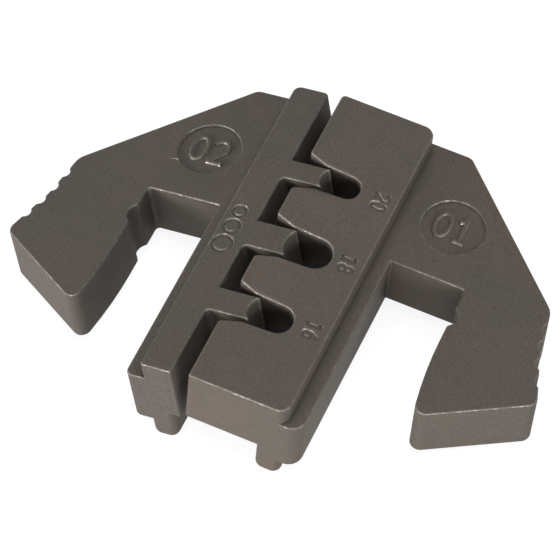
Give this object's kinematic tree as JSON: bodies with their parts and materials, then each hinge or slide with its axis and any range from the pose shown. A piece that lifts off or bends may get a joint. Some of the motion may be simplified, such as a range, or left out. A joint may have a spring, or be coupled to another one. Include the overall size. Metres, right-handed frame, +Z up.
{
  "type": "crimp die",
  "caption": "Snap-in crimp die: a nest half with three round-ended channels and an anvil half with three hollow-tipped tongues, each with a hooked wing.",
  "frame": {"origin": "centre of the footprint of the pair, on the surface it lies on", "axes": "+X from the anvil half to the nest half, along the crimp travel and the longest extent; +Y to the back, along the row of stations, with the slots' mouths to the front; +Z up, the shortest extent"},
  "size_m": [0.0422, 0.0284, 0.0088],
  "materials": {
    "nest_steel": "dark brown oxide on fine-grained sintered steel, satin",
    "anvil_steel": "dark brown oxide on fine-grained sintered steel, satin"
  },
  "bodies": {
    "nest_half": {"nest_die": "nest_steel"},
    "anvil_half": {"anvil_die": "anvil_steel"}
  },
  "joints": [
    {"name": "jaw_travel", "type": "slide", "parent": "nest_half", "child": "anvil_half", "axis": [-1, 0, 0], "range_m": [0, 0.012]}
  ]
}
